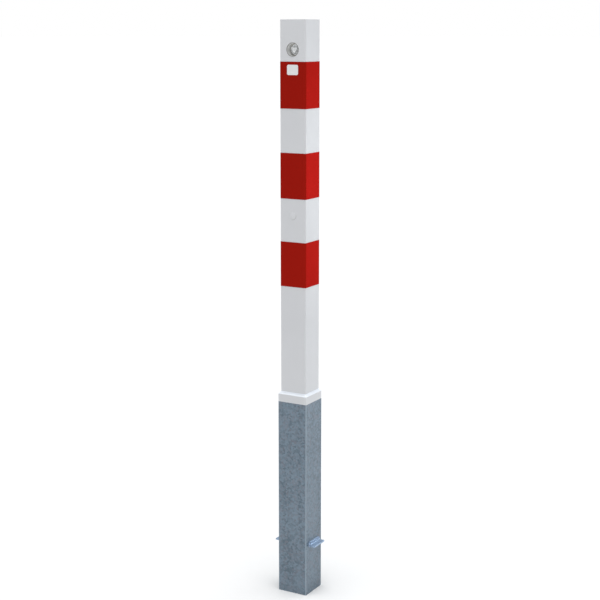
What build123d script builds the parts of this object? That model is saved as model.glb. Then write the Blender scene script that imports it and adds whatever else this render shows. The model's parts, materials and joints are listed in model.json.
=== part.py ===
from build123d import *
import math
import os

# Removable barrier post in a ground sleeve. Millimetres, +Z up.
# Origin: centre of the sleeve's bottom edge. -Y is the lock's face, and the bolt shoots to -X.
# Everything is drawn unlocked: rod down, bolt drawn in, key triangle pointing down.

# Post
post_side = 70.0
post_wall = 3.0
post_corner = 3.3
post_inner_corner = 1.0
post_above = 930.0  # ground level to the top
post_insert = 260.0  # ground level down to the foot
cap_thick = 3.0
cap_edge = 1.0
foot_thick = 4.0
foot_chamfer = 1.5
foot_drain = 14.0

# Ground sleeve and what is welded to it
sleeve_length = 500.0
sleeve_wall = 3.0
sleeve_gap = 2.0  # post to sleeve, on each side
sleeve_corner = 2.2
sleeve_inner_corner = 1.0
anchor_out = 17.0
anchor_up = 10.0
anchor_thick = 4.0
anchor_length = 50.0
anchor_low = 126.5
anchor_root = 3.0  # inner fillet of the angle
anchor_toe = 1.2
pocket_wall = 2.0
pocket_margin = 2.0  # pocket's inside to the sleeve's slot, on each side
pocket_clear = 2.4  # in front of the shot bolt

# Collar at ground level
collar_straight = 19.5
collar_slope = 4.5
collar_lip = 1.0

# Red bands and the label
band_drop = 98.0  # post's top to the first band
band_height = 110.0
band_gap = 105.0
band_thick = 0.5
label_width = 30.0
label_height = 24.0
label_corner = 4.0
label_thick = 0.3
label_drop = 19.0  # band's top to the label's centre

# Key lock
lock_drop = 70.0  # post's top to the key's axis
lock_outer = 33.7
lock_wall = 2.0
lock_proud = 0.5
lock_edge = 0.4
head_recess = 6.8
head_inradius = 5.4  # axis to each flat of the triangle
head_corner = 1.2
head_edge = 0.6
flange_radius = 13.0
flange_thick = 2.0
shaft_radius = 7.0
shaft_square = 9.0
bush_length = 7.5
washer_thick = 0.9
washer_bore = 7.3
circlip_thick = 1.0
circlip_radius = 10.0
circlip_mouth = 6.0
groove_depth = 0.7
shaft_run = 0.05  # radial running clearance of the shaft
face_run = 0.1  # end play between the bush and what turns against it
weld_gap = 0.05  # radial gap of pressed and welded round fits

# Crank and yoke
crank_radius = 10.0  # key's axis to the crank pin
crank_thick = 5.0
crank_rim = 6.0  # crank pin's axis to the disc's edge
crank_behind = 0.4  # circlip to the disc
crank_start = -45.0  # pin's angle at rest, from +X towards +Z
pin_radius = 4.0
pin_head_radius = 5.5
pin_head = 2.0
yoke_thick = 5.0
yoke_gap = 1.0  # disc to yoke, and yoke to the pin's head
yoke_clear = 0.45  # crank pin to the yoke's slot, radially
yoke_rim = 6.0

# Pull rod, its ends and guides
rod_radius = 5.0
rod_clear = 0.3
rod_grip = 14.0  # screwed length in each clevis
tab_half = 8.0
clevis_side = 16.0
clevis_length = 36.0
fork_depth = 20.0
fork_clear = 0.3
eye_distance = 8.0  # clevis mouth to its pin, and pin to the tab's end
clevis_round = 3.0
pin_tail = 3.0
clip_radius = 7.5
clip_thick = 1.5
nut_flats = 16.0
nut_thick = 6.0
disc_room = 6.0  # crank disc to the raised clevis
guide_thick = 4.0
guide_half = 12.0
guide_height = 30.0
guide_reach = 9.0  # rod's axis to the bracket's edge
guide_drain = 8.0
guide_drain_spacing = 38.0
lower_guide_rise = 120.0  # bolt's axis to the lower guide
rivet_drop = 41.0  # middle band's lower edge to the rivet
rivet_radius = 9.0
rivet_rise = 1.8
rivet_shank = 4.0
rivet_tail_radius = 6.0
rivet_tail = 2.0

# Bolt and cam
bolt_rise = 60.0  # post's foot to the bolt's axis
bolt_side = 16.0
bolt_inset = 1.5  # drawn-in nose behind the post's face
bolt_chamfer = 1.5
bolt_clear = 0.4
bolt_pin_x = 4.0
bolt_pin_edge = 8.0  # bolt pin to the bolt's rear end
cam_thick = 5.0
cam_clear = 0.3
cam_rim = 5.0
cam_side_clear = 0.4
slide_wall = 4.0
slot_margin = 2.5  # bolt to the sleeve's slot, on each side
clevis_room = 6.0  # lower clevis above the bolt guide

# Levels and spans that follow from the sizes above
post_half = post_side / 2
post_inner = post_side - 2 * post_wall
sleeve_side = post_side + 2 * (sleeve_gap + sleeve_wall)
sleeve_half = sleeve_side / 2
ground = sleeve_length
post_top = ground + post_above
foot_z = ground - post_insert
tube_bottom = foot_z + foot_thick
tube_top = post_top - cap_thick
lock_z = post_top - lock_drop
rivet_z = post_top - band_drop - 2 * band_height - band_gap - rivet_drop
bolt_z = foot_z + bolt_rise
lower_guide_z = bolt_z + lower_guide_rise

# Stations along Y, from the yoke in the middle out to the lock's face
yoke_front = -yoke_thick / 2
crank_rear = yoke_front - yoke_gap
crank_front = crank_rear - crank_thick
circlip_rear = crank_front - crank_behind
circlip_front = circlip_rear - circlip_thick
bush_rear = circlip_front - face_run
bush_front = bush_rear - bush_length
washer_front = bush_front - face_run - washer_thick
flange_front = washer_front - flange_thick
lock_face = -post_half - lock_proud
head_face = lock_face + head_recess

# Motion: a quarter turn of the crank lifts the rod and shoots the bolt by the same throw
start_angle = math.radians(crank_start)
throw = -2 * crank_radius * math.sin(start_angle)
crank_pin_x = crank_radius * math.cos(start_angle)
crank_pin_z = lock_z + crank_radius * math.sin(start_angle)
yoke_slot_travel = crank_radius - crank_pin_x + 2 * yoke_clear
yoke_slot_radius = pin_radius + yoke_clear
yoke_slot_x = (crank_pin_x + crank_radius) / 2
yoke_reach = yoke_slot_x + yoke_slot_travel / 2 + yoke_slot_radius + yoke_rim
yoke_half_height = yoke_slot_radius + yoke_rim
upper_mouth = lock_z - crank_radius - crank_rim - throw - disc_room
upper_pin_z = upper_mouth - eye_distance
slide_side = bolt_side + 2 * (bolt_clear + slide_wall)
lower_mouth = bolt_z + slide_side / 2 + clevis_room
lower_pin_z = lower_mouth + eye_distance
cam_slot_radius = pin_radius + cam_clear
cam_left = bolt_pin_x - throw - cam_slot_radius - cam_rim
cam_right = bolt_pin_x + cam_slot_radius + cam_rim
cam_top = bolt_z + cam_slot_radius + cam_rim
cam_bottom = bolt_z - throw - cam_slot_radius - cam_rim
bolt_nose = -post_half + bolt_inset
bolt_rear = bolt_pin_x + bolt_pin_edge
pocket_face = bolt_nose - throw - pocket_clear - pocket_wall
sleeve_slot = bolt_side + 2 * slot_margin
pocket_inner = sleeve_slot + 2 * pocket_margin

os.makedirs("parts", exist_ok=True)


def save(builder, name):
    builder.part.label = name
    export_step(builder.part, f"parts/{name}.step")


def facing_front(y, z=0.0):
    """Plane across Y at this depth, looking out of the lock face: its x is +X and its y is +Z."""
    return Plane(origin=(0, y, z), x_dir=(1, 0, 0), z_dir=(0, -1, 0))


def square_ring(side, corner, hole, hole_corner):
    RectangleRounded(side, side, corner)
    RectangleRounded(hole, hole, hole_corner, mode=Mode.SUBTRACT)


def round_ring(radius, hole):
    Circle(radius)
    Circle(hole, mode=Mode.SUBTRACT)


# ---- Ground sleeve ----

with BuildPart() as ground_sleeve:
    with BuildSketch():
        square_ring(sleeve_side, sleeve_corner, sleeve_side - 2 * sleeve_wall, sleeve_inner_corner)
    extrude(amount=sleeve_length)
    with BuildSketch(Plane.YZ.offset(-sleeve_side)):
        with Locations((0, bolt_z)):
            Rectangle(sleeve_slot, sleeve_slot)
    extrude(amount=sleeve_side, mode=Mode.SUBTRACT)
save(ground_sleeve, "ground_sleeve")

with BuildPart() as anchor_right:
    with BuildSketch(facing_front(0)):
        with BuildLine():
            Polyline(
                (sleeve_half, anchor_low),
                (sleeve_half + anchor_out, anchor_low),
                (sleeve_half + anchor_out, anchor_low + anchor_thick),
                (sleeve_half + anchor_thick, anchor_low + anchor_thick),
                (sleeve_half + anchor_thick, anchor_low + anchor_up),
                (sleeve_half, anchor_low + anchor_up),
                close=True,
            )
        make_face()
    extrude(amount=anchor_length / 2, both=True)
    along = anchor_right.edges().filter_by(Axis.Y)
    root = along.sort_by_distance((sleeve_half + anchor_thick, 0, anchor_low + anchor_thick))[0]
    fillet(root, anchor_root)
    along = anchor_right.edges().filter_by(Axis.Y)
    toe = along.sort_by_distance((sleeve_half + anchor_out, 0, anchor_low + anchor_thick))[0]
    fillet(toe, anchor_toe)
save(anchor_right, "anchor_right")

with BuildPart() as anchor_left:
    add(mirror(anchor_right.part, about=Plane.YZ, mode=Mode.PRIVATE))
save(anchor_left, "anchor_left")

with BuildPart() as bolt_pocket:
    with BuildSketch(Plane.YZ.offset(pocket_face)):
        with Locations((0, bolt_z)):
            RectangleRounded(pocket_inner + 2 * pocket_wall, pocket_inner + 2 * pocket_wall, pocket_wall)
    extrude(amount=-sleeve_half - pocket_face)
    with BuildSketch(Plane.YZ.offset(pocket_face + pocket_wall)):
        with Locations((0, bolt_z)):
            Rectangle(pocket_inner, pocket_inner)
    extrude(amount=sleeve_half, mode=Mode.SUBTRACT)
save(bolt_pocket, "bolt_pocket")


# ---- Post ----

with BuildPart() as post_tube:
    with BuildSketch(Plane.XY.offset(tube_bottom)):
        square_ring(post_side, post_corner, post_inner, post_inner_corner)
    extrude(amount=tube_top - tube_bottom)
    with BuildSketch(facing_front(0, lock_z)):
        Circle(lock_outer / 2 + weld_gap)
    extrude(amount=post_side, mode=Mode.SUBTRACT)
    with BuildSketch(facing_front(0, rivet_z)):
        Circle(rivet_shank + weld_gap)
    extrude(amount=post_side, mode=Mode.SUBTRACT)
    with BuildSketch(Plane.YZ.offset(-post_side)):
        with Locations((0, bolt_z)):
            Rectangle(bolt_side + 2 * bolt_clear, bolt_side + 2 * bolt_clear)
    extrude(amount=post_side, mode=Mode.SUBTRACT)
save(post_tube, "post_tube")

with BuildPart() as top_cap:
    with BuildSketch(Plane.XY.offset(tube_top)):
        RectangleRounded(post_side, post_side, post_corner)
    extrude(amount=cap_thick)
    fillet(top_cap.faces().sort_by(Axis.Z)[-1].edges(), cap_edge)
save(top_cap, "top_cap")

with BuildPart() as foot_plate:
    with BuildSketch(Plane.XY.offset(foot_z)):
        RectangleRounded(post_side, post_side, post_corner)
        Circle(foot_drain / 2, mode=Mode.SUBTRACT)
    extrude(amount=foot_thick)
    chamfer(foot_plate.faces().sort_by(Axis.Z)[0].outer_wire().edges(), foot_chamfer)
save(foot_plate, "foot_plate")

with BuildPart() as collar:
    with BuildSketch(Plane.XY.offset(ground)):
        RectangleRounded(sleeve_side, sleeve_side, sleeve_corner)
    extrude(amount=collar_straight)
    with BuildSketch(Plane.XY.offset(ground + collar_straight)):
        RectangleRounded(sleeve_side, sleeve_side, sleeve_corner)
    with BuildSketch(Plane.XY.offset(ground + collar_straight + collar_slope)):
        RectangleRounded(post_side + 2 * collar_lip, post_side + 2 * collar_lip, post_corner)
    loft()
    with BuildSketch(Plane.XY.offset(ground)):
        RectangleRounded(post_side, post_side, post_corner)
    extrude(amount=collar_straight + collar_slope, mode=Mode.SUBTRACT)
save(collar, "collar")

band_tops = [post_top - band_drop - i * (band_height + band_gap) for i in range(3)]
for band_name, band_top in zip(("red_band_top", "red_band_middle", "red_band_bottom"), band_tops):
    with BuildPart() as red_band:
        with BuildSketch(Plane.XY.offset(band_top - band_height)):
            square_ring(post_side + 2 * band_thick, post_corner + band_thick, post_side, post_corner)
        extrude(amount=band_height)
    save(red_band, band_name)

with BuildPart() as blank_label:
    with BuildSketch(facing_front(-post_half - band_thick, band_tops[0] - label_drop)):
        RectangleRounded(label_width, label_height, label_corner)
    extrude(amount=label_thick)
save(blank_label, "blank_label")

with BuildPart() as lock_housing:
    with BuildSketch(facing_front(bush_rear, lock_z)):
        round_ring(lock_outer / 2, lock_outer / 2 - lock_wall)
    extrude(amount=bush_rear - lock_face)
    fillet(lock_housing.faces().sort_by(Axis.Y)[0].edges(), lock_edge)
save(lock_housing, "lock_housing")

with BuildPart() as spindle_bush:
    with BuildSketch(facing_front(bush_rear, lock_z)):
        round_ring(lock_outer / 2 - lock_wall - weld_gap, shaft_radius + shaft_run)
    extrude(amount=bush_length)
save(spindle_bush, "spindle_bush")

with BuildPart() as upper_rod_guide:
    wall_y = -post_inner / 2
    guide_low = rivet_z - guide_height / 2
    with BuildSketch(Plane.YZ):
        with BuildLine():
            Polyline(
                (wall_y, guide_low),
                (guide_reach, guide_low),
                (guide_reach, guide_low + guide_thick),
                (wall_y + guide_thick, guide_low + guide_thick),
                (wall_y + guide_thick, guide_low + guide_height),
                (wall_y, guide_low + guide_height),
                close=True,
            )
        make_face()
    extrude(amount=guide_half, both=True)
    with BuildSketch(Plane.XY.offset(guide_low)):
        Circle(rod_radius + rod_clear)
    extrude(amount=guide_thick, mode=Mode.SUBTRACT)
    with BuildSketch(facing_front(wall_y + guide_thick, rivet_z)):
        Circle(rivet_shank + weld_gap)
    extrude(amount=guide_thick, mode=Mode.SUBTRACT)
save(upper_rod_guide, "upper_rod_guide")

with BuildPart() as guide_rivet:
    tail_seat = wall_y + guide_thick
    with BuildSketch(Plane.YZ):
        with BuildLine():
            outline = Polyline(
                (-post_half - rivet_rise, rivet_z),
                (tail_seat + rivet_tail, rivet_z),
                (tail_seat + rivet_tail, rivet_z + rivet_tail_radius),
                (tail_seat, rivet_z + rivet_tail_radius),
                (tail_seat, rivet_z + rivet_shank),
                (-post_half, rivet_z + rivet_shank),
                (-post_half, rivet_z + rivet_radius),
            )
            dome = (rivet_radius**2 + rivet_rise**2) / (2 * rivet_rise)
            sag = dome - math.sqrt(dome**2 - (rivet_radius / 2) ** 2)
            crown = (-post_half - rivet_rise + sag, rivet_z + rivet_radius / 2)
            ThreePointArc(outline @ 1, crown, outline @ 0)
        make_face()
    revolve(axis=Axis((0, 0, rivet_z), (0, 1, 0)))
save(guide_rivet, "guide_rivet")

with BuildPart() as lower_rod_guide:
    with BuildSketch(Plane.XY.offset(lower_guide_z)):
        RectangleRounded(post_inner, post_inner, post_inner_corner)
        Circle(rod_radius + rod_clear, mode=Mode.SUBTRACT)
        with GridLocations(guide_drain_spacing, guide_drain_spacing, 2, 2):
            Circle(guide_drain / 2, mode=Mode.SUBTRACT)
    extrude(amount=guide_thick)
save(lower_rod_guide, "lower_rod_guide")

with BuildPart() as bolt_guide:
    with BuildSketch(Plane.YZ.offset(-post_inner / 2)):
        with Locations((0, bolt_z)):
            Rectangle(slide_side, slide_side)
            Rectangle(bolt_side + 2 * bolt_clear, bolt_side + 2 * bolt_clear, mode=Mode.SUBTRACT)
    extrude(amount=post_inner)
    with BuildSketch(Plane.XY.offset(bolt_z - slide_side)):
        with Locations(((cam_left + cam_right) / 2, 0)):
            Rectangle(cam_right - cam_left + 2 * cam_side_clear, cam_thick + 2 * cam_side_clear)
    extrude(amount=2 * slide_side, mode=Mode.SUBTRACT)
save(bolt_guide, "bolt_guide")


# ---- Key spindle and crank ----

with BuildPart() as key_spindle:
    with BuildSketch(facing_front(flange_front, lock_z)):
        RegularPolygon(head_inradius, 3, major_radius=False, rotation=-90)
        fillet(vertices(), head_corner)
    extrude(amount=flange_front - head_face)
    chamfer(key_spindle.faces().sort_by(Axis.Y)[0].edges(), head_edge)
    with BuildSketch(facing_front(washer_front, lock_z)):
        Circle(flange_radius)
    extrude(amount=flange_thick)
    with BuildSketch(facing_front(crank_front, lock_z)):
        Circle(shaft_radius)
    extrude(amount=crank_front - washer_front)
    with BuildSketch(facing_front(circlip_rear, lock_z)):
        round_ring(circlip_radius, shaft_radius - groove_depth)
    extrude(amount=circlip_thick, mode=Mode.SUBTRACT)
    with BuildSketch(facing_front(crank_rear, lock_z)):
        Rectangle(shaft_square, shaft_square, rotation=crank_start)
    extrude(amount=crank_thick)
save(key_spindle, "key_spindle")

with BuildPart() as thrust_washer:
    with BuildSketch(facing_front(washer_front + washer_thick, lock_z)):
        round_ring(flange_radius, washer_bore)
    extrude(amount=washer_thick)
save(thrust_washer, "thrust_washer")

with BuildPart() as spindle_circlip:
    with BuildSketch(facing_front(circlip_rear, lock_z)):
        round_ring(circlip_radius, shaft_radius - groove_depth + weld_gap)
        with Locations((0, circlip_radius)):
            Rectangle(circlip_mouth, 2 * circlip_radius, mode=Mode.SUBTRACT)
    extrude(amount=circlip_thick)
save(spindle_circlip, "spindle_circlip")

with BuildPart() as crank_disc:
    with BuildSketch(facing_front(crank_rear, lock_z)):
        Circle(crank_radius + crank_rim)
        square_hole = shaft_square + 2 * weld_gap
        Rectangle(square_hole, square_hole, rotation=crank_start, mode=Mode.SUBTRACT)
        with Locations((crank_pin_x, crank_pin_z - lock_z)):
            Circle(pin_radius + weld_gap, mode=Mode.SUBTRACT)
    extrude(amount=crank_thick)
save(crank_disc, "crank_disc")

with BuildPart() as crank_pin:
    head_seat = yoke_thick / 2 + yoke_gap
    with BuildSketch(facing_front(head_seat, crank_pin_z)):
        with Locations((crank_pin_x, 0)):
            Circle(pin_radius)
    extrude(amount=head_seat - crank_front)
    with BuildSketch(facing_front(head_seat + pin_head, crank_pin_z)):
        with Locations((crank_pin_x, 0)):
            Circle(pin_head_radius)
    extrude(amount=pin_head)
save(crank_pin, "crank_pin")


# ---- Yoke, pull rod and cam plate ----

with BuildPart() as yoke_plate:
    with BuildSketch(facing_front(yoke_thick / 2)):
        with BuildLine():
            Polyline(
                (-tab_half, upper_pin_z - eye_distance),
                (tab_half, upper_pin_z - eye_distance),
                (tab_half, crank_pin_z - yoke_half_height),
                (yoke_reach, crank_pin_z - yoke_half_height),
                (yoke_reach, crank_pin_z + yoke_half_height),
                (-tab_half, crank_pin_z + yoke_half_height),
                close=True,
            )
        make_face()
        with Locations((yoke_slot_x, crank_pin_z)):
            SlotCenterToCenter(yoke_slot_travel, 2 * yoke_slot_radius, mode=Mode.SUBTRACT)
        with Locations((0, upper_pin_z)):
            Circle(pin_radius + weld_gap, mode=Mode.SUBTRACT)
    extrude(amount=yoke_thick)
save(yoke_plate, "yoke_plate")

with BuildPart() as cam_plate:
    with BuildSketch(facing_front(cam_thick / 2)):
        with BuildLine():
            Polyline(
                (cam_left, cam_bottom),
                (cam_right, cam_bottom),
                (cam_right, cam_top),
                (tab_half, cam_top),
                (tab_half, lower_pin_z + eye_distance),
                (-tab_half, lower_pin_z + eye_distance),
                (-tab_half, cam_top),
                (cam_left, cam_top),
                close=True,
            )
        make_face()
        with Locations((bolt_pin_x - throw / 2, bolt_z - throw / 2)):
            cam_run = throw * math.sqrt(2) + 2 * cam_clear
            SlotCenterToCenter(cam_run, 2 * cam_slot_radius, rotation=45, mode=Mode.SUBTRACT)
        with Locations((0, lower_pin_z)):
            Circle(pin_radius + weld_gap, mode=Mode.SUBTRACT)
    extrude(amount=cam_thick)
save(cam_plate, "cam_plate")

# Both rod ends are alike: a fork clevis with its pin and clip, and a locknut.
# They are drawn from the clevis mouth towards the rod.
rod_ends = (("upper", upper_mouth, -1, yoke_thick), ("lower", lower_mouth, 1, cam_thick))
for end, mouth, towards_rod, tab_thick in rod_ends:
    mouth_plane = Plane(origin=(0, 0, mouth), x_dir=(1, 0, 0), z_dir=(0, 0, towards_rod))
    eye_z = mouth + towards_rod * eye_distance
    clevis_half = clevis_side / 2

    with BuildPart() as clevis:
        with BuildSketch(mouth_plane):
            RectangleRounded(clevis_side, clevis_side, clevis_round)
        extrude(amount=clevis_length)
        with BuildSketch(mouth_plane):
            Rectangle(2 * clevis_side, tab_thick + 2 * fork_clear)
        extrude(amount=fork_depth, mode=Mode.SUBTRACT)
        with BuildSketch(mouth_plane):
            Circle(rod_radius + weld_gap)
        extrude(amount=clevis_length, mode=Mode.SUBTRACT)
        with BuildSketch(facing_front(clevis_side, eye_z)):
            Circle(pin_radius + weld_gap)
        extrude(amount=2 * clevis_side, mode=Mode.SUBTRACT)
    save(clevis, f"{end}_clevis")

    with BuildPart() as clevis_pin:
        with BuildSketch(facing_front(clevis_half + pin_tail, eye_z)):
            Circle(pin_radius)
        extrude(amount=clevis_side + pin_tail)
        with BuildSketch(facing_front(-clevis_half, eye_z)):
            Circle(pin_head_radius)
        extrude(amount=pin_head)
    save(clevis_pin, f"{end}_clevis_pin")

    with BuildPart() as pin_clip:
        with BuildSketch(facing_front(clevis_half + clip_thick, eye_z)):
            round_ring(clip_radius, pin_radius + weld_gap)
        extrude(amount=clip_thick)
    save(pin_clip, f"{end}_pin_clip")

    with BuildPart() as locknut:
        with BuildSketch(mouth_plane.offset(clevis_length)):
            RegularPolygon(nut_flats / 2, 6, major_radius=False)
            Circle(rod_radius + weld_gap, mode=Mode.SUBTRACT)
        extrude(amount=nut_thick)
    save(locknut, f"{end}_locknut")

with BuildPart() as pull_rod:
    rod_low = lower_mouth + clevis_length - rod_grip
    rod_high = upper_mouth - clevis_length + rod_grip
    with BuildSketch(Plane.XY.offset(rod_low)):
        Circle(rod_radius)
    extrude(amount=rod_high - rod_low)
save(pull_rod, "pull_rod")


# ---- Bolt ----

with BuildPart() as lock_bolt:
    with BuildSketch(Plane.YZ.offset(bolt_nose)):
        with Locations((0, bolt_z)):
            Rectangle(bolt_side, bolt_side)
    extrude(amount=bolt_rear - bolt_nose)
    chamfer(lock_bolt.faces().sort_by(Axis.X)[0].edges(), bolt_chamfer)
    fork_start = cam_left - cam_side_clear
    with BuildSketch(Plane.XY.offset(bolt_z - bolt_side)):
        with Locations((fork_start, 0)):
            fork_gap = cam_thick + 2 * cam_side_clear
            Rectangle(bolt_rear - fork_start, fork_gap, align=(Align.MIN, Align.CENTER))
    extrude(amount=2 * bolt_side, mode=Mode.SUBTRACT)
    with BuildSketch(facing_front(bolt_side, bolt_z)):
        with Locations((bolt_pin_x, 0)):
            Circle(pin_radius + weld_gap)
    extrude(amount=2 * bolt_side, mode=Mode.SUBTRACT)
save(lock_bolt, "lock_bolt")

with BuildPart() as bolt_pin:
    with BuildSketch(facing_front(bolt_side / 2, bolt_z)):
        with Locations((bolt_pin_x, 0)):
            Circle(pin_radius)
    extrude(amount=bolt_side)
save(bolt_pin, "bolt_pin")
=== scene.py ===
import json
import math

import bmesh
import bpy
import numpy as np
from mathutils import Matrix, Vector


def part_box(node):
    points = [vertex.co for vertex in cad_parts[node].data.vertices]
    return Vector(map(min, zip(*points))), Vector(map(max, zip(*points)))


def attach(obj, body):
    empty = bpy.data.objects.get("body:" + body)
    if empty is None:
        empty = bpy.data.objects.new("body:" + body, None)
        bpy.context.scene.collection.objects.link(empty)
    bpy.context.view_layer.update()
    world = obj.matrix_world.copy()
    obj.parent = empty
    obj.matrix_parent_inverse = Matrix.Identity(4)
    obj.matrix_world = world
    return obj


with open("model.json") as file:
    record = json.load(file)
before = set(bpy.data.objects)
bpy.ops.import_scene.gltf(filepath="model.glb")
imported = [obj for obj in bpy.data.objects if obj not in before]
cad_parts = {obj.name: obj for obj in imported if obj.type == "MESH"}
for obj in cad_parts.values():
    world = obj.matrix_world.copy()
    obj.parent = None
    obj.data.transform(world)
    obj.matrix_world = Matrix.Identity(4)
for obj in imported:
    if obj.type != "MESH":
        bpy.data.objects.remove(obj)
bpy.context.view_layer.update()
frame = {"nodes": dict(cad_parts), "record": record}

mm = 0.001
print("frame loaded:", len(frame["nodes"]), "nodes")

# Lengths are metres, +Z up, the lock face looks along -Y and the bolt shoots along -X.

viewPoint = {
    "azimuth": 29.7,        # degrees round from the lock face
    "distance": 3.2,        # from the post's axis
    "height": 1.399,        # just under the post's top
    "aimHeight": 0.7536,
    "lens": 79.52,
}

studio = {
    "floorTone": (0.81, 0.81, 0.81),
    "floorRadius": 400.0,
    "floorCorners": 64,
    "backdrop": (1.0, 1.0, 1.0),
    "skyTint": (0.95, 0.98, 1.0),
    "skyStrength": 0.40,
    "sunFrom": (0.04, -0.05, 1.0),
    "sunStrength": 2.8,
    "sunSpread": 42.0,      # degrees: a wide lamp gives a soft shadow
    "sideLamp": {"place": (2.1, 3.3, 0.7), "aim": (0, 0, 0.5), "watts": 25.0, "size": 1.0,
                 "tint": (0.90, 0.96, 1.0)},
    "frontLamp": {"place": (1.6, -2.4, 2.6), "aim": (0, 0, 1.0), "watts": 3.0, "size": 1.4,
                  "tint": (1.0, 0.99, 0.97)},
}


def rgba(colour):
    return (*colour, 1.0)


# One node with its settings; an input takes a value or another node's output.
def node(tree, kind, inputs=None, **settings):
    made = tree.nodes.new(kind)
    for key, value in settings.items():
        setattr(made, key, value)
    for key, value in (inputs or {}).items():
        if isinstance(value, bpy.types.NodeSocket):
            tree.links.new(value, made.inputs[key])
        else:
            made.inputs[key].default_value = value
    return made


# The eye stands at azimuth and distance round the post's axis and looks at aimHeight on it.
def addCamera():
    turn = math.radians(viewPoint["azimuth"])
    reach = viewPoint["distance"]
    drop = math.atan2(viewPoint["height"] - viewPoint["aimHeight"], reach)
    camera = bpy.data.objects.new("camera", bpy.data.cameras.new("camera"))
    bpy.context.scene.collection.objects.link(camera)
    camera.location = (math.sin(turn) * reach, -math.cos(turn) * reach, viewPoint["height"])
    camera.rotation_euler = (math.pi / 2 - drop, 0, turn)
    camera.data.lens = viewPoint["lens"]
    camera.data.clip_end = 2 * studio["floorRadius"]
    bpy.context.scene.camera = camera


# Turns a lamp, which shines along its own -Z, so that it shines along the given direction.
def shineAlong(lamp, direction):
    x, y, z = direction
    lamp.rotation_euler = (math.atan2(math.hypot(x, y), -z), 0, math.atan2(y, x) - math.pi / 2)


def addLamp(name, kind):
    lamp = bpy.data.objects.new(name, bpy.data.lights.new(name, kind))
    bpy.context.scene.collection.objects.link(lamp)
    lamp.visible_camera = False
    return lamp


def addSun():
    sun = addLamp("overheadSun", "SUN")
    sun.data.energy = studio["sunStrength"]
    sun.data.angle = math.radians(studio["sunSpread"])
    shineAlong(sun, -np.array(studio["sunFrom"]))


def addSoftLamp(name):
    wanted = studio[name]
    lamp = addLamp(name, "AREA")
    lamp.data.shape = "DISK"
    lamp.data.size = wanted["size"]
    lamp.data.energy = wanted["watts"]
    lamp.data.color = wanted["tint"]
    lamp.location = wanted["place"]
    shineAlong(lamp, np.array(wanted["aim"]) - np.array(wanted["place"]))


# The eye sees an even white backdrop; the object is lit by a dimmer, cooler sky.
def addSky():
    world = bpy.data.worlds.new("studioSky")
    bpy.context.scene.world = world
    world.use_nodes = True
    tree = world.node_tree
    tree.nodes.clear()
    seen = node(tree, "ShaderNodeBackground", {"Color": rgba(studio["backdrop"]), "Strength": 1.0})
    glow = node(tree, "ShaderNodeBackground",
                {"Color": rgba(studio["skyTint"]), "Strength": studio["skyStrength"]})
    path = node(tree, "ShaderNodeLightPath")
    mix = node(tree, "ShaderNodeMixShader",
               {0: path.outputs["Is Camera Ray"], 1: glow.outputs[0], 2: seen.outputs[0]})
    node(tree, "ShaderNodeOutputWorld", {"Surface": mix.outputs[0]})


# A round sheet of matt paper: one ring of corners at floorRadius.
def addFloor():
    turns = np.linspace(0, 2 * math.pi, studio["floorCorners"], endpoint=False)
    ring = studio["floorRadius"] * np.stack([np.cos(turns), np.sin(turns), np.zeros_like(turns)], axis=-1)
    mesh = bpy.data.meshes.new("floor")
    mesh.from_pydata(ring.tolist(), [], [list(range(len(turns)))])
    floor = bpy.data.objects.new("floor", mesh)
    bpy.context.scene.collection.objects.link(floor)
    paper = bpy.data.materials.new("studioPaper")
    paper.use_nodes = True
    shader = paper.node_tree.nodes["Principled BSDF"]
    shader.inputs["Base Color"].default_value = rgba(studio["floorTone"])
    shader.inputs["Roughness"].default_value = 1.0
    shader.inputs["Specular IOR Level"].default_value = 0.0
    mesh.materials.append(paper)


addCamera()
addSky()
addFloor()
addSun()
addSoftLamp("sideLamp")
addSoftLamp("frontLamp")
bpy.context.scene.view_settings.view_transform = "Standard"
print("camera, light and floor ready")


# A shader group with number inputs, given as name: default, and named number outputs.
def startGroup(name, inputs, outputs):
    group = bpy.data.node_groups.new(name, "ShaderNodeTree")
    for key, value in inputs.items():
        made = group.interface.new_socket(name=key, in_out="INPUT", socket_type="NodeSocketFloat")
        made.default_value = value
    for key in outputs:
        group.interface.new_socket(name=key, in_out="OUTPUT", socket_type="NodeSocketFloat")
    return group, group.nodes.new("NodeGroupInput"), group.nodes.new("NodeGroupOutput")


def useGroup(tree, group, **inputs):
    made = node(tree, "ShaderNodeGroup", node_tree=group)
    for key, value in inputs.items():
        made.inputs[key].default_value = value
    return made.outputs


def ownPlace(tree):
    return node(tree, "ShaderNodeTexCoord").outputs["Object"]


def worked(tree, operation, a, b=0.0, c=0.0):
    return node(tree, "ShaderNodeMath", {0: a, 1: b, 2: c}, operation=operation).outputs[0]


# 0 at low, 1 at high, smooth in between.
def fadeBetween(tree, value, low, high):
    return node(tree, "ShaderNodeMapRange", {"Value": value, "From Min": low, "From Max": high},
                interpolation_type="SMOOTHSTEP").outputs["Result"]


# Rescales a 0 to 1 value to low..high.
def spread(tree, value, low, high):
    return node(tree, "ShaderNodeMapRange", {"Value": value, "To Min": low, "To Max": high}).outputs["Result"]


# Cloudy grain: noise on the object's own metres.
def grainGroup():
    group, given, result = startGroup("grain", {"Scale": 100.0, "Detail": 2.0, "Rough": 0.5}, ["Value"])
    noise = node(group, "ShaderNodeTexNoise", {"Vector": ownPlace(group), "Scale": given.outputs["Scale"],
                                               "Detail": given.outputs["Detail"],
                                               "Roughness": given.outputs["Rough"]})
    group.links.new(noise.outputs["Fac"], result.inputs["Value"])
    return group


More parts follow.
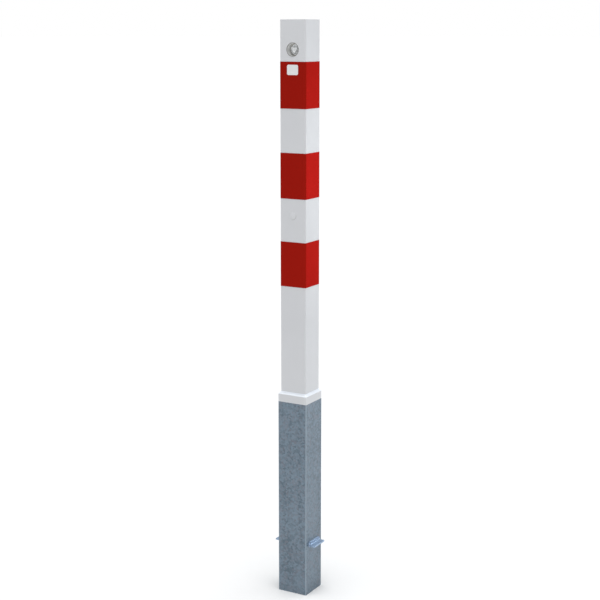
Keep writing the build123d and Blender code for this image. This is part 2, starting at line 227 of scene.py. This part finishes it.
# Mask of a square tube's upright corners: the smaller of |x| and |y|, faded from Start to End.
def cornerGroup():
    group, given, result = startGroup("corners", {"Start": 0.030, "End": 0.034}, ["Mask"])
    axes = node(group, "ShaderNodeSeparateXYZ", {0: ownPlace(group)})
    smaller = worked(group, "MINIMUM", worked(group, "ABSOLUTE", axes.outputs[0]),
                     worked(group, "ABSOLUTE", axes.outputs[1]))
    mask = fadeBetween(group, smaller, given.outputs["Start"], given.outputs["End"])
    group.links.new(mask, result.inputs["Mask"])
    return group


crystalPlaces = {
    "bendScale": 60.0,              # cells a metre in the noise that bends the crystals
    "runStretch": (70.0, 70.0, 3.0),
}


# Zinc crystals: cells with a tone and a warmth each, on places that a little noise has bent, and long runs.
def spangleGroup():
    group, given, result = startGroup("spangle", {"Scale": 120.0, "Bend": 0.004}, ["Tone", "Warmth", "Run"])
    place = ownPlace(group)
    noise = node(group, "ShaderNodeTexNoise", {"Vector": place, "Scale": crystalPlaces["bendScale"],
                                               "Detail": 2.0})
    offset = node(group, "ShaderNodeVectorMath", {0: noise.outputs["Color"], "Scale": given.outputs["Bend"]},
                  operation="SCALE")
    bent = node(group, "ShaderNodeVectorMath", {0: place, 1: offset.outputs[0]}, operation="ADD")
    cells = node(group, "ShaderNodeTexVoronoi", {"Vector": bent.outputs[0], "Scale": given.outputs["Scale"]})
    tones = node(group, "ShaderNodeSeparateColor", {0: cells.outputs["Color"]})
    drawn = node(group, "ShaderNodeMapping", {"Vector": place, "Scale": crystalPlaces["runStretch"]})
    run = node(group, "ShaderNodeTexNoise", {"Vector": drawn.outputs[0], "Scale": 1.0, "Detail": 3.0})
    group.links.new(tones.outputs[0], result.inputs["Tone"])
    group.links.new(tones.outputs[1], result.inputs["Warmth"])
    group.links.new(run.outputs["Fac"], result.inputs["Run"])
    return group


# Lathe marks: a sine of the distance from an axis along Y at the given height, plus the place along it.
def turnedGroup():
    group, given, result = startGroup("turned", {"Height": 1.36, "Pitch": 0.0008}, ["Ring"])
    axes = node(group, "ShaderNodeSeparateXYZ", {0: ownPlace(group)})
    up = worked(group, "SUBTRACT", axes.outputs[2], given.outputs["Height"])
    across = axes.outputs[0]
    away = worked(group, "SQRT", worked(group, "ADD", worked(group, "MULTIPLY", across, across),
                                        worked(group, "MULTIPLY", up, up)))
    along = worked(group, "ADD", away, axes.outputs[1])
    turns = worked(group, "MULTIPLY", worked(group, "DIVIDE", along, given.outputs["Pitch"]), 2 * math.pi)
    ring = worked(group, "MULTIPLY_ADD", worked(group, "SINE", turns), 0.5, 0.5)
    group.links.new(ring, result.inputs["Ring"])
    return group


# Where the painted shadow round the rivet's head falls.
rivetShadowSpan = {
    "lowRight": (0.2, 1.3),         # shares of the radius
    "face": (-0.033, -0.0345),
}


# Painted shadow round a round head on the lock face: a darker ring at Radius and Width, strongest at its
# lower right.
def rivetShadowGroup():
    group, given, result = startGroup("rivetShadowRing", {"Height": 1.0, "Radius": 0.009, "Width": 0.0006}, ["Mask"])
    axes = node(group, "ShaderNodeSeparateXYZ", {0: ownPlace(group)})
    up = worked(group, "SUBTRACT", axes.outputs[2], given.outputs["Height"])
    across = axes.outputs[0]
    away = worked(group, "SQRT", worked(group, "ADD", worked(group, "MULTIPLY", across, across),
                                        worked(group, "MULTIPLY", up, up)))
    offRing = worked(group, "ABSOLUTE", worked(group, "SUBTRACT", away, given.outputs["Radius"]))
    ring = fadeBetween(group, offRing, given.outputs["Width"], 0.0)
    lowRight = worked(group, "DIVIDE", worked(group, "SUBTRACT", across, up), given.outputs["Radius"])
    rivetShadow = worked(group, "MULTIPLY", ring, fadeBetween(group, lowRight, *rivetShadowSpan["lowRight"]))
    onFace = fadeBetween(group, axes.outputs[1], *rivetShadowSpan["face"])
    group.links.new(worked(group, "MULTIPLY", rivetShadow, onFace), result.inputs["Mask"])
    return group


handlingMarks = {
    "stretch": (420.0, 420.0, 26.0),
    "lean": (0.1, 0.07, 0),
    "softness": 0.06,
}


# Handling marks: noise drawn out along the post, kept only above the level From.
def scuffGroup():
    group, given, result = startGroup("scuffs", {"From": 0.68}, ["Mask"])
    drawn = node(group, "ShaderNodeMapping", {"Vector": ownPlace(group), "Scale": handlingMarks["stretch"],
                                              "Rotation": handlingMarks["lean"]})
    noise = node(group, "ShaderNodeTexNoise", {"Vector": drawn.outputs[0], "Scale": 1.0, "Detail": 3.0})
    top = worked(group, "ADD", given.outputs["From"], handlingMarks["softness"])
    mask = fadeBetween(group, noise.outputs["Fac"], given.outputs["From"], top)
    group.links.new(mask, result.inputs["Mask"])
    return group


grain, corners, spangle = grainGroup(), cornerGroup(), spangleGroup()
turned, rivetShadowRing, scuffs = turnedGroup(), rivetShadowGroup(), scuffGroup()
print("shared effects ready")


# A material and its shader; the plain numbers go straight onto the shader's sockets.
def startFinish(name, **sockets):
    made = bpy.data.materials.new(name)
    made.use_nodes = True
    shader = made.node_tree.nodes["Principled BSDF"]
    for key, value in sockets.items():
        shader.inputs[key.replace("_", " ")].default_value = value
    return made, made.node_tree, shader


def blendColour(tree, factor, first, second):
    made = node(tree, "ShaderNodeMix", {"Factor": factor}, data_type="RGBA")
    for socket, value in ((made.inputs[6], first), (made.inputs[7], second)):
        if isinstance(value, bpy.types.NodeSocket):
            tree.links.new(value, socket)
        else:
            socket.default_value = rgba(value)
    return made.outputs[2]


def bumpOf(tree, height, distance, strength=1.0, under=None):
    made = node(tree, "ShaderNodeBump", {"Height": height, "Distance": distance, "Strength": strength})
    if under is not None:
        tree.links.new(under, made.inputs["Normal"])
    return made.outputs["Normal"]


whiteCoat = {
    "colour": (0.710, 0.715, 0.735),
    "shade": (0.680, 0.685, 0.705),
    "cloud": 5.0,               # cells a metre
    "cloudSpan": (0.35, 0.7),
    # The next three: a painted highlight along the post's upright corners.
    "edge": (0.77, 0.78, 0.80),
    "edgeSpan": (32.5 * mm, 34.5 * mm),
    "edgeShare": 0.3,
    "scuff": (0.60, 0.60, 0.60),
    "scuffFrom": 0.70,
    "scuffShare": 0.2,
    # The next three: a painted shadow in a ring round the rivet's head, strongest at its lower right.
    "rivetShadowColour": (0.42, 0.42, 0.40),
    "rivetShadowShare": 0.8,
    "rivetShadowWidth": 0.9 * mm,
    # The next four: a pale, bluish painted highlight on the collar's slope and weld.
    "slopeHighlight": (0.86, 0.90, 0.96),
    "slopeHighlightFrom": -5.0 * mm,      # from the collar's top
    "slopeHighlightTo": 2.4 * mm,
    "slopeHighlightFade": 1.0 * mm,
    # The next two: painted shade darkening the post's flat top.
    "topShade": (0.60, 0.60, 0.585),
    "topShadeDepth": 0.25 * mm,
    "peel": 330.0,              # cells a metre
    "peelDepth": 0.09 * mm,
    "peelStrength": 0.5,
    "gloss": (0.30, 0.40),
}


# Masks for a painted highlight on the collar's slope and weld, and for painted shade on the post's flat top.
def slopeHighlightAndTopShade(tree):
    up = node(tree, "ShaderNodeSeparateXYZ", {0: ownPlace(tree)}).outputs[2]
    slope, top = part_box("collar")[1][2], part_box("top_cap")[1][2]
    low, high = slope + whiteCoat["slopeHighlightFrom"], slope + whiteCoat["slopeHighlightTo"]
    fade = whiteCoat["slopeHighlightFade"]
    above, below = fadeBetween(tree, up, low, low + fade), fadeBetween(tree, up, high, high - fade)
    return worked(tree, "MULTIPLY", above, below), fadeBetween(tree, up, top - whiteCoat["topShadeDepth"], top)


# Polyester powder: a faint cloud in the tone, a painted highlight along the upright corners, small scuffs,
# orange peel, a painted shadow round the rivet's head, a painted highlight on the collar's slope and weld and
# painted shade on the top.
def whitePowderCoat():
    finish, tree, shader = startFinish("whitePowderCoat", Specular_IOR_Level=0.12)
    cloud = useGroup(tree, grain, Scale=whiteCoat["cloud"], Detail=3.0)["Value"]
    edge = useGroup(tree, corners, Start=whiteCoat["edgeSpan"][0], End=whiteCoat["edgeSpan"][1])["Mask"]
    marks = useGroup(tree, scuffs, From=whiteCoat["scuffFrom"])["Mask"]
    shaded = fadeBetween(tree, cloud, *whiteCoat["cloudSpan"])
    base = blendColour(tree, shaded, whiteCoat["colour"], whiteCoat["shade"])
    # Painted highlight along the upright corners.
    edgeLit = worked(tree, "MULTIPLY", edge, whiteCoat["edgeShare"])
    base = blendColour(tree, edgeLit, base, whiteCoat["edge"])
    scuffed = worked(tree, "MULTIPLY", marks, whiteCoat["scuffShare"])
    base = blendColour(tree, scuffed, base, whiteCoat["scuff"])
    # Painted shadow round the rivet's head.
    low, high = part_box("guide_rivet")
    rivetShadow = useGroup(tree, rivetShadowRing, Height=(low[2] + high[2]) / 2, Radius=(high[0] - low[0]) / 2,
                    Width=whiteCoat["rivetShadowWidth"])["Mask"]
    base = blendColour(tree, worked(tree, "MULTIPLY", rivetShadow, whiteCoat["rivetShadowShare"]), base, whiteCoat["rivetShadowColour"])
    # Painted highlight on the collar's slope and weld, and painted shade on the flat top.
    slopeHighlight, topShade = slopeHighlightAndTopShade(tree)
    base = blendColour(tree, slopeHighlight, base, whiteCoat["slopeHighlight"])
    base = blendColour(tree, topShade, base, whiteCoat["topShade"])
    tree.links.new(base, shader.inputs["Base Color"])
    tree.links.new(spread(tree, cloud, *whiteCoat["gloss"]), shader.inputs["Roughness"])
    peel = useGroup(tree, grain, Scale=whiteCoat["peel"], Detail=1.0)["Value"]
    tree.links.new(bumpOf(tree, peel, whiteCoat["peelDepth"], whiteCoat["peelStrength"]),
                   shader.inputs["Normal"])
    return finish


redLook = {
    "colour": (0.338, 0.0108, 0.0060),
    "bead": (0.40, 0.0130, 0.0075),
    "beads": 1500.0,            # cells a metre
    "beadDepth": 0.04 * mm,
    "beadStrength": 0.4,
    "glintSpan": (0.75, 0.05),
    "cloud": 14.0,
    "ripple": 22.0,
    "rippleDepth": 0.6 * mm,
    "rippleStrength": 0.3,
    "gloss": (0.40, 0.50),
    "metal": 0.36,
    "sheen": (1.0, 0.02, 0.01),
    "specular": 0.01,
}


# Reflective film: a paler glint in each glass bead, and a slow ripple where it was laid on by hand.
def redFilm():
    finish, tree, shader = startFinish("redFilm", Metallic=redLook["metal"],
                                       Specular_IOR_Level=redLook["specular"],
                                       Specular_Tint=rgba(redLook["sheen"]))
    beads = node(tree, "ShaderNodeTexVoronoi", {"Vector": ownPlace(tree), "Scale": redLook["beads"]})
    glint = fadeBetween(tree, beads.outputs["Distance"], *redLook["glintSpan"])
    cloud = useGroup(tree, grain, Scale=redLook["cloud"], Detail=2.0)["Value"]
    ripple = useGroup(tree, grain, Scale=redLook["ripple"], Detail=1.0)["Value"]
    base = blendColour(tree, worked(tree, "MULTIPLY", glint, cloud), redLook["colour"], redLook["bead"])
    tree.links.new(base, shader.inputs["Base Color"])
    tree.links.new(spread(tree, cloud, *redLook["gloss"]), shader.inputs["Roughness"])
    laid = bumpOf(tree, ripple, redLook["rippleDepth"], redLook["rippleStrength"])
    beaded = bumpOf(tree, glint, redLook["beadDepth"], redLook["beadStrength"], under=laid)
    tree.links.new(beaded, shader.inputs["Normal"])
    return finish


zincTube = {
    "dark": (0.102, 0.142, 0.178),
    "light": (0.200, 0.262, 0.322),
    "warm": (0.200, 0.200, 0.235),
    "warmShare": 0.5,
    # The next two: a painted highlight along the upright corners.
    "corner": (0.33, 0.405, 0.47),
    "cornerHighlightSpan": (36.5 * mm, 39.2 * mm),
    "crystals": 215.0,          # cells a metre
    "gloss": (0.33, 0.46),
    "metal": 0.5,
}
# A brighter, bluer copy of the zinc for the anchors: painted light, standing in for the light on their upward
# faces.
litAnchorLook = {
    "dark": (0.27, 0.37, 0.52),
    "light": (0.38, 0.50, 0.66),
    "warm": (0.34, 0.42, 0.58),
    "warmShare": 0.3,
    # The next two: a painted highlight along the upright corners.
    "corner": (0.46, 0.58, 0.74),
    "cornerHighlightSpan": (60 * mm, 70 * mm),
    "crystals": 260.0,
    "gloss": (0.38, 0.52),
    "metal": 0.5,
}


zincMix = {
    "bend": 0.003,
    "fine": 900.0,              # cells a metre
    "wide": 11.0,
    "cellWeight": 0.6,
    "fineWeight": 0.4,
    "runWeight": 0.55,
    "wideWeight": 0.6,
    "toneSpan": (0.0, 0.9),
    "warmSpan": (0.55, 1.0),
    "edgeShare": 0.7,
    "runDepth": 0.4 * mm,
    "runStrength": 0.35,
    "fineDepth": 0.08 * mm,
    "fineStrength": 0.5,
}


# Hot-dip zinc: crystals, fine grain, runs and broad clouds added up to one tone, and a painted highlight
# along the upright corners.
def galvanised(name, look):
    finish, tree, shader = startFinish(name, Metallic=look["metal"])
    cells = useGroup(tree, spangle, Scale=look["crystals"], Bend=zincMix["bend"])
    fine = useGroup(tree, grain, Scale=zincMix["fine"], Detail=2.0)["Value"]
    wide = useGroup(tree, grain, Scale=zincMix["wide"], Detail=3.0)["Value"]
    grit = worked(tree, "MULTIPLY", fine, zincMix["fineWeight"])
    tone = worked(tree, "MULTIPLY_ADD", cells["Tone"], zincMix["cellWeight"], grit)
    run = worked(tree, "SUBTRACT", cells["Run"], 0.5)
    tone = worked(tree, "MULTIPLY_ADD", run, zincMix["runWeight"], tone)
    cloud = worked(tree, "SUBTRACT", wide, 0.5)
    tone = worked(tree, "MULTIPLY_ADD", cloud, zincMix["wideWeight"], tone)
    base = blendColour(tree, fadeBetween(tree, tone, *zincMix["toneSpan"]), look["dark"], look["light"])
    warm = fadeBetween(tree, cells["Warmth"], *zincMix["warmSpan"])
    base = blendColour(tree, worked(tree, "MULTIPLY", warm, look["warmShare"]), base, look["warm"])
    # Painted highlight along the upright corners.
    edge = useGroup(tree, corners, Start=look["cornerHighlightSpan"][0], End=look["cornerHighlightSpan"][1])["Mask"]
    base = blendColour(tree, worked(tree, "MULTIPLY", edge, zincMix["edgeShare"]), base, look["corner"])
    tree.links.new(base, shader.inputs["Base Color"])
    tree.links.new(spread(tree, cells["Tone"], *look["gloss"]), shader.inputs["Roughness"])
    runs = bumpOf(tree, cells["Run"], zincMix["runDepth"], zincMix["runStrength"])
    gritty = bumpOf(tree, fine, zincMix["fineDepth"], zincMix["fineStrength"], under=runs)
    tree.links.new(gritty, shader.inputs["Normal"])
    return finish


turnedLooks = {
    "lock_steel": {"dark": (0.78, 0.785, 0.77), "light": (0.88, 0.88, 0.87),
                   "gloss": (0.40, 0.52), "metal": 0.1},
    "key_steel": {"dark": (0.80, 0.81, 0.82), "light": (0.90, 0.91, 0.92),
                  "gloss": (0.28, 0.4), "metal": 0.15},
    "inner_steel": {"dark": (0.42, 0.43, 0.44), "light": (0.58, 0.59, 0.60),
                    "gloss": (0.3, 0.45), "metal": 0.9},
    "bush_bronze": {"dark": (0.52, 0.42, 0.27), "light": (0.70, 0.60, 0.42),
                    "gloss": (0.3, 0.45), "metal": 0.9},
}
turnedMix = {
    "cloud": 160.0,             # cells a metre
    "pitch": 0.7 * mm,
    "ringWeight": 0.25,
    "cloudWeight": 0.75,
    "ringDepth": 0.03 * mm,
    "ringStrength": 0.5,
}
# Painted light: the lock housing's front is painted darker than its bore, so the shaded bore reads brightly
# lit.
paintedBoreLight = {"colour": (0.30, 0.30, 0.29), "depth": 1.6 * mm, "fullDepth": 0.4 * mm}


# Painted light in the lock housing: the share of a darker colour, all of it at the front and none at depth,
# so that the shaded bore reads brighter than the front.
def paintedBoreLightShare(tree):
    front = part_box("lock_housing")[0][1]
    along = node(tree, "ShaderNodeSeparateXYZ", {0: ownPlace(tree)}).outputs[1]
    return fadeBetween(tree, along, front + paintedBoreLight["depth"], front + paintedBoreLight["fullDepth"])


# Turned metal: a little cloud in the tone and fine rings round the key's axis.
def turnedMetal(name, look, axisHeight):
    finish, tree, shader = startFinish(name, Metallic=look["metal"])
    cloud = useGroup(tree, grain, Scale=turnedMix["cloud"], Detail=3.0)["Value"]
    rings = useGroup(tree, turned, Height=axisHeight, Pitch=turnedMix["pitch"])["Ring"]
    clouded = worked(tree, "MULTIPLY", cloud, turnedMix["cloudWeight"])
    mixed = worked(tree, "MULTIPLY_ADD", rings, turnedMix["ringWeight"], clouded)
    base = blendColour(tree, mixed, look["dark"], look["light"])
    # Painted light in the lock housing's bore.
    if name == "lock_steel":
        base = blendColour(tree, paintedBoreLightShare(tree), base, paintedBoreLight["colour"])
    tree.links.new(base, shader.inputs["Base Color"])
    tree.links.new(spread(tree, mixed, *look["gloss"]), shader.inputs["Roughness"])
    grooved = bumpOf(tree, rings, turnedMix["ringDepth"], turnedMix["ringStrength"])
    tree.links.new(grooved, shader.inputs["Normal"])
    return finish


labelLook = {"dark": (0.78, 0.78, 0.775), "light": (0.86, 0.86, 0.86), "gloss": (0.28, 0.36),
             "cloud": 60.0, "waveDepth": 0.1 * mm, "waveStrength": 0.3}


# Blank vinyl: a slightly uneven white under a clear top coat.
def labelVinyl():
    finish, tree, shader = startFinish("labelVinyl", IOR=1.45, Coat_Weight=0.4, Coat_Roughness=0.15)
    cloud = useGroup(tree, grain, Scale=labelLook["cloud"], Detail=2.0)["Value"]
    base = blendColour(tree, cloud, labelLook["dark"], labelLook["light"])
    tree.links.new(base, shader.inputs["Base Color"])
    tree.links.new(spread(tree, cloud, *labelLook["gloss"]), shader.inputs["Roughness"])
    waved = bumpOf(tree, cloud, labelLook["waveDepth"], labelLook["waveStrength"])
    tree.links.new(waved, shader.inputs["Normal"])
    return finish


keyAxis = float(sum(corner[2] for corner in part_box("thrust_washer")) / 2)
finishes = {"galvanised": galvanised("galvanised", zincTube), "white_powder_coat": whitePowderCoat(),
            "red_film": redFilm(), "label_film": labelVinyl()}
for slotName, look in turnedLooks.items():
    finishes[slotName] = turnedMetal(slotName, look, keyAxis)
# The anchors and their welds take the brighter copy of the zinc: painted light.
anchorZinc = galvanised("anchorZinc", litAnchorLook)

for part in frame["record"]["subparts"]:
    onAnchor = part["node"].startswith("anchor")
    skin = frame["nodes"][part["node"]].data.materials
    skin.clear()
    skin.append(anchorZinc if onAnchor else finishes[part["material_slot"]])
print("finishes ready:", len(finishes) + 1)


# Turns a closed mesh's faces so that all of them point out of it.
def faceOutwards(mesh):
    shell = bmesh.new()
    shell.from_mesh(mesh)
    bmesh.ops.recalc_face_normals(shell, faces=shell.faces)
    shell.to_mesh(mesh)
    shell.free()


# A tube-like grid of points[along, round, xyz]: rings closed and joined along, with capped ends if open.
def addSurface(name, grid, closedAlong, finish, body, smooth=True):
    along, around = grid.shape[:2]
    index = np.arange(along * around).reshape(along, around)
    onward = np.roll(index, -1, axis=0)
    rows = slice(None) if closedAlong else slice(0, along - 1)
    sides = [index, np.roll(index, -1, axis=1), np.roll(onward, -1, axis=1), onward]
    faces = np.stack([side[rows] for side in sides], axis=-1).reshape(-1, 4).tolist()
    if not closedAlong:
        faces += [index[0, ::-1].tolist(), index[-1].tolist()]
    mesh = bpy.data.meshes.new(name)
    mesh.from_pydata(grid.reshape(-1, 3).tolist(), [], faces)
    faceOutwards(mesh)
    if smooth:
        mesh.shade_smooth()
    mesh.materials.append(finish)
    piece = bpy.data.objects.new(name, mesh)
    bpy.context.scene.collection.objects.link(piece)
    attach(piece, body)


# Even steps round a square with rounded corners, as points and outward normals: a straight run, then an arc,
# four times over.
def roundedSquare(half, corner, count):
    straight, arc = 2 * (half - corner), corner * math.pi / 2
    travel = np.arange(count) / count * 4 * (straight + arc)
    quarter = np.floor(travel / (straight + arc))
    local = travel - quarter * (straight + arc)
    onArc = local > straight
    angle = np.where(onArc, (local - straight) / corner, 0.0)
    x = half - corner + corner * np.cos(angle)
    y = np.where(onArc, half - corner + corner * np.sin(angle), local - (half - corner))
    turn = quarter * math.pi / 2
    points = np.stack([x * np.cos(turn) - y * np.sin(turn), x * np.sin(turn) + y * np.cos(turn)], axis=-1)
    normals = np.stack([np.cos(angle + turn), np.sin(angle + turn)], axis=-1)
    return points, normals


beadSides = 12


# Weld bead: a ring at each path point. Its radius dips by scallop once a pitch, and rounds off at open ends.
def beadRings(path, across, up, radius, scallop, pitch, taper):
    step = np.linalg.norm(np.diff(path, axis=0, append=path[:1]), axis=1)
    travel = np.concatenate([[0], np.cumsum(step)[:-1]])
    ripple = 1 - scallop * np.mod(travel / pitch, 1.0) ** 2
    if taper:
        toEnd = np.clip(np.minimum(travel, travel[-1] - travel) / radius, 0.02, 1)
        ripple = ripple * np.sqrt(np.clip(1 - (1 - toEnd) ** 2, 0, 1))
    phi = np.linspace(0, 2 * math.pi, beadSides, endpoint=False)
    ring = np.cos(phi)[None, :, None] * across[:, None, :] + np.sin(phi)[None, :, None] * up[:, None, :]
    return path[:, None, :] + radius * ripple[:, None, None] * ring


collarBead = {"radius": 1.5 * mm, "pitch": 2.2 * mm, "scallop": 0.06, "corner": 3.6 * mm, "steps": 1200,
              "offWall": 0.35 * mm, "above": 0.1 * mm}


# Bead in the corner between the post and the collar's top.
def collarWeld():
    look, top = collarBead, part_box("collar")[1][2]
    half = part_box("top_cap")[1][0]
    flat, out = roundedSquare(half + look["offWall"], look["corner"], look["steps"])
    path = np.column_stack([flat, np.full(len(flat), top + look["above"])])
    across = np.column_stack([out, np.zeros(len(out))])
    up = np.tile([0.0, 0.0, 1.0], (len(path), 1))
    rings = beadRings(path, across, up, look["radius"], look["scallop"], look["pitch"], taper=False)
    addSurface("collarWeld", rings, True, finishes["white_powder_coat"], "post")


anchorBead = {"radius": 2.3 * mm, "pitch": 2.4 * mm, "scallop": 0.07, "steps": 240, "inset": 0.5 * mm,
              "offWall": 0.2 * mm}


def straightBead(name, start, end, across, up, look, finish, body):
    share = np.linspace(0, 1, look["steps"])[:, None]
    path = np.array(start) * (1 - share) + np.array(end) * share
    wide = [np.tile(axis, (len(path), 1)).astype(float) for axis in (across, up)]
    rings = beadRings(path, *wide, look["radius"], look["scallop"], look["pitch"], taper=True)
    addSurface(name, rings, False, finish, body)


# Beads over, under and at both ends of each angle, where it meets the sleeve.
def anchorWelds():
    wall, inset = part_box("ground_sleeve")[1][0], anchorBead["inset"]
    for name, side in (("anchor_right", 1), ("anchor_left", -1)):
        low, high = (np.array(corner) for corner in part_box(name))
        face = side * (wall + anchorBead["offWall"])
        front, back, under, over = low[1], high[1], low[2], high[2]
        runs = {
            "Over": ((face, front + inset, over), (face, back - inset, over), (0, 0, side)),
            "Under": ((face, back - inset, under), (face, front + inset, under), (0, 0, -side)),
            "Front": ((face, front, under + inset), (face, front, over - inset), (0, -side, 0)),
            "Back": ((face, back, over - inset), (face, back, under + inset), (0, side, 0)),
        }
        for place, (start, end, up) in runs.items():
            straightBead(f"{name}Weld{place}", start, end, (side, 0, 0), up, anchorBead,
                         anchorZinc, "sleeve")


pocketBead = {"radius": 1.6 * mm, "pitch": 2.2 * mm, "scallop": 0.07, "corner": 2.4 * mm, "steps": 420,
              "outside": 0.3 * mm, "offWall": 0.2 * mm}


# Bead round the bolt pocket on the sleeve's wall.
def pocketWeld():
    look = pocketBead
    low, high = (np.array(corner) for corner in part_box("bolt_pocket"))
    half, middle = (high[1] - low[1]) / 2, (high[2] + low[2]) / 2
    flat, out = roundedSquare(half + look["outside"], look["corner"], look["steps"])
    wall = np.full(len(flat), high[0] - look["offWall"])
    path = np.column_stack([wall, flat[:, 0], flat[:, 1] + middle])
    across = np.column_stack([np.zeros(len(out)), out])
    up = np.tile([-1.0, 0.0, 0.0], (len(path), 1))
    rings = beadRings(path, across, up, look["radius"], look["scallop"], look["pitch"], taper=False)
    addSurface("pocketWeld", rings, True, finishes["galvanised"], "sleeve")


filmLap = {"width": 14 * mm, "thick": 0.28 * mm, "centre": -17 * mm, "easing": 0.35, "steps": 40,
           "endShare": 0.97, "endInset": 0.3 * mm, "fullInset": 0.5 * mm}


# The film's end laid over its start at the back: a flat superellipse carried up the band, a little smaller
# at its two ends.
def bandLaps():
    t = np.linspace(0, 2 * math.pi, filmLap["steps"], endpoint=False)
    x = np.sign(np.cos(t)) * np.abs(np.cos(t)) ** filmLap["easing"] * filmLap["width"] / 2
    y = np.sign(np.sin(t)) * np.abs(np.sin(t)) ** filmLap["easing"] * filmLap["thick"]
    shrink = np.array([filmLap["endShare"], 1.0, 1.0, filmLap["endShare"]])[:, None]
    end, full = filmLap["endInset"], filmLap["fullInset"]
    for name in ("red_band_top", "red_band_middle", "red_band_bottom"):
        low, high = (np.array(corner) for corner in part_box(name))
        heights = np.array([low[2] + end, low[2] + full, high[2] - full, high[2] - end])
        grid = np.stack([filmLap["centre"] + x * shrink, high[1] + y * shrink,
                         np.broadcast_to(heights[:, None], (len(heights), len(t)))], axis=-1)
        addSurface(name + "Lap", grid[::-1], False, finishes["red_film"], "post", smooth=False)


paintLip = {"radius": 0.7 * mm, "steps": 160, "outside": 0.2 * mm, "sunk": 0.25 * mm}


# Paint gathered round the lock housing: a thin ring where it passes through the face.
def lockLip():
    low, high = (np.array(corner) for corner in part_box("lock_housing"))
    outer, face = (high[0] - low[0]) / 2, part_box("top_cap")[0][1]
    angle = np.linspace(0, 2 * math.pi, paintLip["steps"], endpoint=False)
    out = np.stack([np.cos(angle), np.zeros_like(angle), np.sin(angle)], axis=-1)
    path = out * (outer + paintLip["outside"]) + np.array([0, face + paintLip["sunk"], keyAxis])
    forward = np.tile([0.0, -1.0, 0.0], (len(path), 1))
    rings = beadRings(path, out, forward, paintLip["radius"], 0.0, 1.0, taper=False)
    addSurface("lockLip", rings, True, finishes["white_powder_coat"], "post")


collarWeld()
anchorWelds()
pocketWeld()
bandLaps()
lockLip()
print("added pieces ready")
